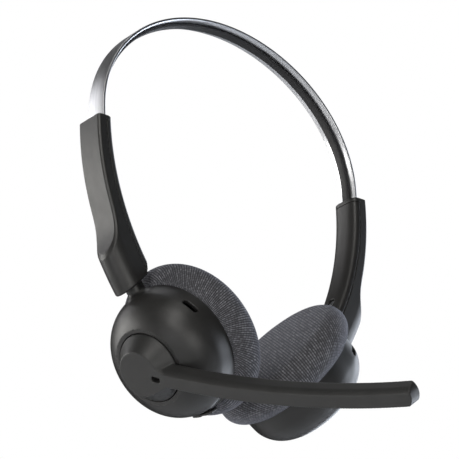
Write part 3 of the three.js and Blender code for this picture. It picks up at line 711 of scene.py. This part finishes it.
def puff(piece, most=0.004):
    """Inflates the cover by cloth simulation, held where the cup's rim grips it."""
    rest = np.array([v.co[:] for v in piece.data.vertices])
    held = piece.vertex_groups.new(name="held")
    for index, weight in enumerate(grip_weights(rest)):
        if weight > 0:
            held.add([index], float(weight), "REPLACE")
    cloth = piece.modifiers.new("cloth", "CLOTH")
    cloth.settings.use_pressure = True
    cloth.settings.uniform_pressure_force = 4.0
    cloth.settings.effector_weights.gravity = 0.0
    cloth.settings.vertex_group_mass = "held"
    cloth.settings.quality = 6
    cloth.settings.tension_stiffness = 25
    cloth.settings.compression_stiffness = 25
    cloth.settings.bending_stiffness = 0.6
    for number in range(1, 21):
        bpy.context.scene.frame_set(number)
    graph = bpy.context.evaluated_depsgraph_get()
    mesh = piece.evaluated_get(graph).data
    after = np.array([v.co[:] for v in mesh.vertices])
    bpy.context.scene.frame_set(1)
    piece.modifiers.clear()
    move = after - rest
    far = np.linalg.norm(move, axis=1)
    move *= np.minimum(1, most / np.maximum(far, 1e-9))[:, None]
    for vertex, place in zip(piece.data.vertices, rest + move):
        vertex.co = place
    piece.data.update()


def lay_weave(piece, turn):
    """Knit coordinates: the flat cover's own plane, wrapped over the pad's side, in millimetres."""
    profile = pad_profile()
    reach = np.concatenate([[0], np.cumsum(np.linalg.norm(np.diff(profile, axis=0), axis=1))])
    uv = piece.data.uv_layers.new(name="knit")
    points = np.array([v.co[:] for v in piece.data.vertices]) * 1000
    radius = hypot(points[:, 0], points[:, 1])
    spread = (radius[:, None] - profile[None, :, 0]) ** 2 + (points[:, 2:3] - profile[None, :, 1]) ** 2
    near = spread.argmin(axis=1)
    distance = reach[near]
    for side in (-1, 1):
        other = np.clip(near + side, 0, len(profile) - 1)
        run = profile[other] - profile[near]
        size = np.maximum((run ** 2).sum(axis=1), 1e-9)
        share = (radius - profile[near, 0]) * run[:, 0] + (points[:, 2] - profile[near, 1]) * run[:, 1]
        share = np.clip(share / size, 0, 0.5)
        distance = distance + share * (reach[other] - reach[near])
    scale = np.where(radius > 1e-6, distance / np.maximum(radius, 1e-6), 1.0)
    flat = points[:, :2] * scale[:, None]
    ribs = np.array([math.cos(math.radians(turn)), math.sin(math.radians(turn))])
    flat = np.stack([flat @ np.array([ribs[1], -ribs[0]]), flat @ ribs], axis=1)
    for loop in piece.data.loops:
        uv.data[loop.index].uv = flat[loop.vertex_index]


def slack_profile():
    """The cover before it is inflated: a little smaller at its side and front."""
    profile = pad_profile()
    side = profile[:, 0] > RIM_RADIUS
    front = (profile[:, 1] < -12) & ~side
    profile[side] += (np.array([25.0, PAD_CENTRE_H]) - profile[side]) * 0.06
    profile[front, 1] += 0.5
    return profile


def ear_cushion(side):
    name = side + "_knit_cushion"
    mesh = turned_mesh(name, slack_profile(), 72)
    piece = make_object(name, mesh, cup_matrix(side))
    puff(piece)
    soften = piece.modifiers.new("smooth", "SUBSURF")
    soften.levels = 1
    soften.render_levels = 1
    apply_modifiers(piece)
    piece.data.shade_smooth()
    lay_weave(piece, RIBS_TURN[side])
    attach(piece, side + "_cup")
    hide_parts(side + "_ear_cushion")
    return piece


# ---- materials -------------------------------------------------------------------------------

def new_material(name, color, roughness, metallic=0.0):
    material = bpy.data.materials.new(name)
    material.use_nodes = True
    shader = material.node_tree.nodes["Principled BSDF"]
    shader.inputs["Base Color"].default_value = (*color, 1)
    shader.inputs["Roughness"].default_value = roughness
    shader.inputs["Metallic"].default_value = metallic
    return material, material.node_tree, shader


def node(tree, kind, props=None, inputs=None):
    """A node with its properties set; inputs are values or output sockets."""
    made = tree.nodes.new("ShaderNode" + kind)
    for key, value in (props or {}).items():
        setattr(made, key, value)
    for key, value in (inputs or {}).items():
        if isinstance(value, bpy.types.NodeSocket):
            tree.links.new(value, made.inputs[key])
        else:
            made.inputs[key].default_value = value
    return made


def math_node(tree, operation, *values):
    return node(tree, "Math", {"operation": operation}, dict(enumerate(values))).outputs[0]


def object_place(tree):
    return node(tree, "TexCoord").outputs["Object"]


def noise(tree, vector, scale, detail=3.0, rough=0.5):
    inputs = {"Vector": vector, "Scale": scale, "Detail": detail, "Roughness": rough}
    return node(tree, "TexNoise", None, inputs).outputs["Fac"]


def mapped(tree, value, low, high, out_low, out_high):
    names = {"Value": value, "From Min": low, "From Max": high, "To Min": out_low, "To Max": out_high}
    return node(tree, "MapRange", None, names).outputs["Result"]


def mixed(tree, factor, first, second):
    """Two colours mixed; colours are sockets or RGB triples."""
    made = node(tree, "Mix", {"data_type": "RGBA"})
    tree.links.new(factor, made.inputs[0])
    for index, value in ((6, first), (7, second)):
        if isinstance(value, bpy.types.NodeSocket):
            tree.links.new(value, made.inputs[index])
        else:
            made.inputs[index].default_value = (*value, 1)
    return made.outputs[2]


def bump(tree, shader, height, distance, strength=1.0):
    made = node(tree, "Bump", None, {"Height": height, "Distance": distance, "Strength": strength})
    tree.links.new(made.outputs["Normal"], shader.inputs["Normal"])


def satin_plastic(name, dark, light, rough, grain=0.00001):
    """Moulded plastic with a fine spark-eroded grain, handling marks, and convex edges painted lighter:
    partly polished wear, partly a painted highlight.
    """
    material, tree, shader = new_material(name, dark, rough)
    place = object_place(tree)
    cloud = noise(tree, place, 70, 4)
    fine = noise(tree, place, 1500, 3, 0.6)
    smear = noise(tree, place, 260, 5, 0.65)
    colour = mixed(tree, mapped(tree, cloud, 0.35, 0.65, 0, 1), dark, light)
    # Convex edges are painted lighter in colour: partly rubbed wear, partly a painted highlight along the
    # edges.
    edge = node(tree, "NewGeometry").outputs["Pointiness"]
    edge_wear_and_highlight = mapped(tree, edge, 0.56, 0.72, 0, 0.5)
    edge_wear_and_highlight = math_node(tree, "MULTIPLY", edge_wear_and_highlight, mapped(tree, smear, 0.4, 0.6, 0.3, 1))
    polished_edge_highlight = tuple(1.9 * c for c in light)
    tree.links.new(mixed(tree, edge_wear_and_highlight, colour, polished_edge_highlight), shader.inputs["Base Color"])
    tone = mapped(tree, smear, 0.3, 0.7, rough - 0.035, rough + 0.035)
    tone = math_node(tree, "SUBTRACT", tone, math_node(tree, "MULTIPLY", edge_wear_and_highlight, 0.12))
    tree.links.new(tone, shader.inputs["Roughness"])
    bump(tree, shader, fine, grain, 0.6)
    return material


def brushed_steel(name):
    """Steel strip, brushed along its length round the arch."""
    material, tree, shader = new_material(name, (0.66, 0.67, 0.69), 0.28, 1.0)
    place = node(tree, "SeparateXYZ", None, {0: object_place(tree)})
    height = math_node(tree, "ADD", place.outputs[2], HEAD_REST_Z * 0.001)
    turn = math_node(tree, "ARCTAN2", height, place.outputs[0])
    along = math_node(tree, "MULTIPLY", turn, 0.3)
    across = math_node(tree, "MULTIPLY", place.outputs[1], 120.0)
    vector = node(tree, "CombineXYZ", None, {0: along, 1: across}).outputs[0]
    streak = noise(tree, vector, 7.0, 2, 0.5)
    cloud = noise(tree, object_place(tree), 45, 3)
    tone = mapped(tree, streak, 0.3, 0.7, 0.30, 0.38)
    tone = math_node(tree, "ADD", tone, mapped(tree, cloud, 0.3, 0.7, -0.03, 0.05))
    tree.links.new(tone, shader.inputs["Roughness"])
    line = mapped(tree, streak, 0.35, 0.65, 0, 1)
    colour = mixed(tree, line, (0.60, 0.61, 0.63), (0.70, 0.71, 0.73))
    tree.links.new(colour, shader.inputs["Base Color"])
    bump(tree, shader, streak, 0.000001, 0.4)
    return material


def turned_metal(name, color, rough):
    """Small plated or turned metal parts."""
    material, tree, shader = new_material(name, color, rough, 1.0)
    place = object_place(tree)
    spots = noise(tree, place, 900, 4, 0.6)
    cloud = noise(tree, place, 220, 3)
    tone = mapped(tree, spots, 0.3, 0.7, rough - 0.06, rough + 0.1)
    tree.links.new(tone, shader.inputs["Roughness"])
    darker = tuple(0.72 * c for c in color)
    shade = mixed(tree, mapped(tree, cloud, 0.35, 0.65, 0, 1), color, darker)
    tree.links.new(shade, shader.inputs["Base Color"])
    bump(tree, shader, spots, 0.00001, 0.5)
    return material


def soft_rubber(name):
    """Matt black rubber with a little dust on it."""
    material, tree, shader = new_material(name, (0.012, 0.012, 0.013), 0.6)
    place = object_place(tree)
    fine = noise(tree, place, 2600, 2, 0.7)
    dust = noise(tree, place, 380, 5, 0.7)
    amount = mapped(tree, dust, 0.5, 0.75, 0, 0.5)
    colour = mixed(tree, amount, (0.010, 0.010, 0.011), (0.030, 0.030, 0.032))
    tree.links.new(colour, shader.inputs["Base Color"])
    tree.links.new(mapped(tree, dust, 0.3, 0.7, 0.5, 0.68), shader.inputs["Roughness"])
    bump(tree, shader, fine, 0.00003, 0.6)
    return material


def yarn_ramp(tree, pick):
    """The heather yarn's shades, from its dark threads to its light ones."""
    ramp = node(tree, "ValToRGB", None, {"Fac": pick})
    stops = ramp.color_ramp.elements
    stops[0].position = 0.15
    stops[0].color = (0.062, 0.062, 0.068, 1)
    stops[1].position = 0.95
    stops[1].color = (0.26, 0.26, 0.285, 1)
    stops.new(0.35).color = (0.090, 0.090, 0.099, 1)
    stops.new(0.6).color = (0.132, 0.132, 0.145, 1)
    stops.new(0.8).color = (0.185, 0.186, 0.204, 1)
    return ramp.outputs["Color"]


def arch_wave(tree, value):
    """Half a sine wave over each whole step of the value."""
    part = math_node(tree, "FRACT", value)
    return math_node(tree, "SINE", math_node(tree, "MULTIPLY", part, math.pi))


def heather_knit(name):
    """Ribbed knit: loops in columns, each loop its own shade of the heather yarn, with painted shade in
    the valleys between the loops.
    """
    material, tree, shader = new_material(name, (0.06, 0.06, 0.07), 0.92)
    flat = node(tree, "UVMap", {"uv_map": "knit"}).outputs["UV"]
    cover = object_place(tree)
    wander = node(tree, "TexNoise", None, {"Vector": cover, "Scale": 160.0, "Detail": 2.0})
    reach = {0: wander.outputs["Color"], 1: (0.12, 0.12, 0)}
    shift = node(tree, "VectorMath", {"operation": "MULTIPLY"}, reach).outputs[0]
    flat = node(tree, "VectorMath", {"operation": "ADD"}, {0: flat, 1: shift}).outputs[0]
    axes = node(tree, "SeparateXYZ", None, {0: flat})
    column = math_node(tree, "DIVIDE", axes.outputs[0], LOOP_WIDTH)
    course = math_node(tree, "DIVIDE", axes.outputs[1], LOOP_LENGTH)
    half = math_node(tree, "PINGPONG", column, 0.5)
    course = math_node(tree, "ADD", course, math_node(tree, "MULTIPLY", half, 0.5))
    whole = {0: math_node(tree, "FLOOR", column), 1: math_node(tree, "FLOOR", course)}
    cell = node(tree, "CombineXYZ", None, whole).outputs[0]
    pick = node(tree, "TexWhiteNoise", {"noise_dimensions": "2D"}, {"Vector": cell}).outputs["Value"]
    yarn = math_node(tree, "MULTIPLY", noise(tree, cover, 420, 3, 0.6), 0.55)
    pick = math_node(tree, "ADD", math_node(tree, "MULTIPLY", pick, 0.55), yarn)
    beads = mapped(tree, arch_wave(tree, course), 0, 0.7, 0.55, 1)
    height = math_node(tree, "MULTIPLY", arch_wave(tree, column), beads)
    fuzz = noise(tree, cover, 5200, 2, 0.7)
    depth = math_node(tree, "ADD", height, math_node(tree, "MULTIPLY", fuzz, 0.25))
    # The valleys between the loops are painted near-black: painted shade in the knit's creases.
    crest_over_painted_valley_shade = mapped(tree, height, 0.35, 0.85, 0, 1)
    colour = mixed(tree, crest_over_painted_valley_shade, (0.038, 0.038, 0.042), yarn_ramp(tree, pick))
    tree.links.new(colour, shader.inputs["Base Color"])
    tree.links.new(mapped(tree, fuzz, 0.2, 0.8, 0.82, 0.98), shader.inputs["Roughness"])
    shader.inputs["Sheen Weight"].default_value = 0.25
    shader.inputs["Sheen Roughness"].default_value = 0.4
    shader.inputs["Sheen Tint"].default_value = (0.75, 0.8, 1.0, 1)
    shader.inputs["Specular IOR Level"].default_value = 0.25
    bump(tree, shader, depth, 0.00016, 0.9)
    return material


def circuit_board(name):
    """Green board with blocks of copper under the lacquer."""
    material, tree, shader = new_material(name, (0.012, 0.07, 0.035), 0.4)
    place = object_place(tree)
    tracks = node(tree, "TexBrick", None, {"Vector": place, "Scale": 180.0, "Mortar Size": 0.06})
    tracks.inputs["Color1"].default_value = (0.010, 0.060, 0.030, 1)
    tracks.inputs["Color2"].default_value = (0.014, 0.085, 0.042, 1)
    tracks.inputs["Mortar"].default_value = (0.05, 0.16, 0.08, 1)
    tree.links.new(tracks.outputs["Color"], shader.inputs["Base Color"])
    tree.links.new(mapped(tree, noise(tree, place, 500), 0.3, 0.7, 0.3, 0.5), shader.inputs["Roughness"])
    return material


def light_lens(name):
    """Milky plastic."""
    material, tree, shader = new_material(name, (0.7, 0.72, 0.74), 0.25)
    milky = noise(tree, object_place(tree), 1200, 2)
    colour = mixed(tree, milky, (0.62, 0.64, 0.66), (0.8, 0.82, 0.84))
    tree.links.new(colour, shader.inputs["Base Color"])
    tree.links.new(mapped(tree, milky, 0.3, 0.7, 0.2, 0.32), shader.inputs["Roughness"])
    return material


SHELL = satin_plastic("charcoal_plastic", (0.0155, 0.0152, 0.0148), (0.0195, 0.0190, 0.0185), 0.40)
BOOM = satin_plastic("boom_plastic", (0.0165, 0.0165, 0.0162), (0.020, 0.020, 0.0196), 0.46)
NYLON = satin_plastic("black_nylon", (0.006, 0.006, 0.0065), (0.009, 0.009, 0.0095), 0.55, 0.00003)
RUBBER = soft_rubber("liner_rubber")
STEEL = brushed_steel("spring_steel")
SCREW = turned_metal("screw_steel", (0.60, 0.61, 0.63), 0.3)
DARK = turned_metal("dark_metal", (0.10, 0.10, 0.105), 0.42)
FOIL = turned_metal("battery_foil", (0.45, 0.46, 0.48), 0.38)
KNIT = heather_knit("knit_fabric")
BOARD = circuit_board("board")
LENS = light_lens("light_lens")
BY_SLOT = {
    "charcoal_plastic": SHELL, "boom_plastic": BOOM, "nylon": NYLON, "liner_rubber": RUBBER,
    "spring_steel": STEEL, "screw_steel": SCREW, "dark_metal": DARK, "battery_foil": FOIL,
    "knit_fabric": KNIT, "board": BOARD, "light_lens": LENS,
}


def paint(piece, material):
    piece.data.materials.clear()
    piece.data.materials.append(material)


def stand_for(piece, body, slot_name, *nodes):
    """The piece rides on a body, takes the slot's material and stands for CAD nodes."""
    paint(piece, BY_SLOT[slot_name])
    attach(piece, body)
    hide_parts(*nodes)


# ---- assembly --------------------------------------------------------------------------------

def build_band():
    spring = strip("steel_band", 0.0, BAND_THICKNESS, BAND_WIDTH, 0.42, BAND_END_Z)
    stand_for(spring, "headband", "spring_steel", "headband_spring")
    liner = strip("band_liner", LINER_OFFSET, LINER_THICKNESS, LINER_WIDTH, 0.5, BAND_END_Z + 2)
    stand_for(liner, "headband", "liner_rubber", "headband_liner", "headband_flat_cable")


def build_arms():
    box = ([-86, -8, -80], [-55, 8, -2.5])
    housing = moulded("right_arm_shell", arm_housing, *box, "drawing", ARM_STEP)
    cover = moulded("right_arm_cover", arm_inner_cover, *box, "drawing", ARM_STEP)
    pairs = [(housing, "left_arm_shell", "arm_housing"), (cover, "left_arm_cover", "arm_inner_cover")]
    for piece, other_name, cad_name in pairs:
        other = half_turn(piece, other_name)
        stand_for(piece, "right_arm", "charcoal_plastic", "right_" + cad_name)
        stand_for(other, "left_arm", "charcoal_plastic", "left_" + cad_name)


def build_cups():
    box = ([-29, -29, -1.5], [29, 35, 25])
    shell = moulded("right_cup_dome", right_shell, *box, "right")
    stand_for(shell, "right_cup", "charcoal_plastic", "right_cup_shell")
    shell = moulded("left_cup_dome", left_shell, *box, "left")
    stand_for(shell, "left_cup", "charcoal_plastic", "left_cup_shell")
    rock = moulded("volume_rocker_bar", rocker, [-12, -32, 1], [8, -22, 10], "right", SMALL_STEP)
    stand_for(rock, "volume_rocker", "charcoal_plastic", "volume_rocker")
    box = ([-28, -22, 1], [-16, -10, 10])
    button = moulded("power_button_cap", power_button, *box, "right", SMALL_STEP)
    stand_for(button, "power_button", "charcoal_plastic", "power_button")
    for side in ("right", "left"):
        paint(ear_cushion(side), KNIT)


def build_boom():
    bar = moulded("boom_bar", boom_arm, [-17, -66, 12.5], [128, 17, 29.5], "right")
    stand_for(bar, "boom", "boom_plastic", "boom_arm")
    box = ([8, -64, 20], [128, 0, 24.5])
    cover = moulded("boom_inner_cover", boom_back_cover, *box, "right", COVER_STEP)
    stand_for(cover, "boom", "boom_plastic", "boom_back_cover")


def finish_cad_nodes():
    """Every carried-over CAD piece takes the detailed material of its record slot."""
    for part in frame["record"]["subparts"]:
        paint(frame["nodes"][part["node"]], BY_SLOT[part["material_slot"]])


def softbox(name, azimuth, elevation, distance, width, height, color, power):
    """An area light that looks at the headset. Azimuth 0 is in front of the wearer, 90 to their left."""
    a, e = math.radians(azimuth), math.radians(elevation)
    way = Vector((math.sin(a) * math.cos(e), -math.cos(a) * math.cos(e), math.sin(e)))
    light = bpy.data.lights.new(name, "AREA")
    light.shape = "RECTANGLE"
    light.size = width
    light.size_y = height
    light.color = color
    light.energy = power
    lamp = bpy.data.objects.new(name, light)
    bpy.context.scene.collection.objects.link(lamp)
    lamp.location = Vector((0, -0.02, -0.11)) + way * distance
    lamp.rotation_mode = "QUATERNION"
    lamp.rotation_quaternion = (-way).to_track_quat("-Z", "Z")
    lamp.visible_camera = False


def build_floor():
    """A wide pale floor under the headset, which shows evenly pale and casts no light of its own."""
    plane = bpy.data.meshes.new("floor")
    half = 4.0
    corners = [(-half, -half, 0), (half, -half, 0), (half, half, 0), (-half, half, 0)]
    plane.from_pydata(corners, [], [(0, 1, 2, 3)])
    floor = make_object("floor", plane, Matrix.Translation((0, 0, FLOOR_Z)))
    material, tree, shader = new_material("floor_paint", (0.8, 0.8, 0.8), 0.85)
    shader.inputs["Emission Color"].default_value = (0.85, 0.85, 0.86, 1)
    tree.links.new(node(tree, "LightPath").outputs["Is Camera Ray"], shader.inputs["Emission Strength"])
    paint(floor, material)


def build_world():
    """White behind the headset, and nearly dark for the light on it."""
    world = bpy.data.worlds.new("studio")
    bpy.context.scene.world = world
    world.use_nodes = True
    tree = world.node_tree
    back = tree.nodes["Background"]
    seen = node(tree, "LightPath").outputs["Is Camera Ray"]
    tree.links.new(mixed(tree, seen, (0.01, 0.01, 0.01), (1, 1, 1)), back.inputs["Color"])


def build_lights():
    """Soft boxes all round, warmer on the wearer's right and cooler on their left."""
    warm = (1.0, 0.985, 0.95)
    white = (0.99, 0.98, 1.0)
    cool = (0.84, 0.90, 1.0)
    softbox("key_left_back", -141, 7, 1.3, 0.75, 0.6, warm, 7.8)
    softbox("left_back_high", -153, 30, 1.3, 0.52, 0.48, white, 1.6)
    softbox("left_back_low", -160, -8, 1.3, 0.45, 0.8, white, 1.4)
    softbox("left_front", -60, 5, 1.3, 0.45, 0.45, warm, 3.4)
    softbox("left_front_high", -49, 30, 1.3, 0.55, 0.48, warm, 3.9)
    softbox("front_low", -32, -20, 1.2, 0.75, 0.42, warm, 3.4)
    softbox("left_low", -80, -20, 1.2, 0.42, 0.42, white, 1.2)
    softbox("front_high", -22, 58, 1.4, 0.6, 0.6, warm, 1.8)
    softbox("right_front", 60, 5, 1.3, 0.45, 0.45, cool, 4.2)
    softbox("right", 91, 5, 1.3, 0.9, 0.45, cool, 6.4)
    softbox("right_back", 122, 5, 1.3, 0.5, 0.45, cool, 3.0)
    softbox("right_low", 77, -20, 1.2, 0.48, 0.42, cool, 3.5)
    softbox("right_high", 108, 30, 1.3, 0.9, 0.48, cool, 2.6)
    softbox("back_high", 140, 68, 1.5, 0.9, 0.9, (0.97, 0.97, 1.0), 2.6)


def build_camera():
    away = math.cos(CAMERA_ELEVATION)
    back = Vector((math.sin(CAMERA_AZIMUTH) * away, -math.cos(CAMERA_AZIMUTH) * away,
                   math.sin(CAMERA_ELEVATION)))
    right = (-back).cross(Vector((0, 0, 1))).normalized()
    up = right.cross(-back)
    c, s = math.cos(CAMERA_ROLL), math.sin(CAMERA_ROLL)
    axes = (c * right + s * up, -s * right + c * up, back)
    matrix = Matrix.Identity(4)
    for column, axis in enumerate(axes):
        for row in range(3):
            matrix[row][column] = axis[row]
    matrix.translation = CAMERA_PLACE
    data = bpy.data.cameras.new("camera")
    data.sensor_width = 36
    data.lens = CAMERA_LENS
    data.clip_start = 0.05
    camera = bpy.data.objects.new("camera", data)
    bpy.context.scene.collection.objects.link(camera)
    camera.matrix_world = matrix
    bpy.context.scene.camera = camera


build_camera()
build_floor()
build_world()
build_lights()
finish_cad_nodes()
build_band()
build_arms()
build_cups()
build_boom()
bpy.context.scene.view_settings.view_transform = "Standard"
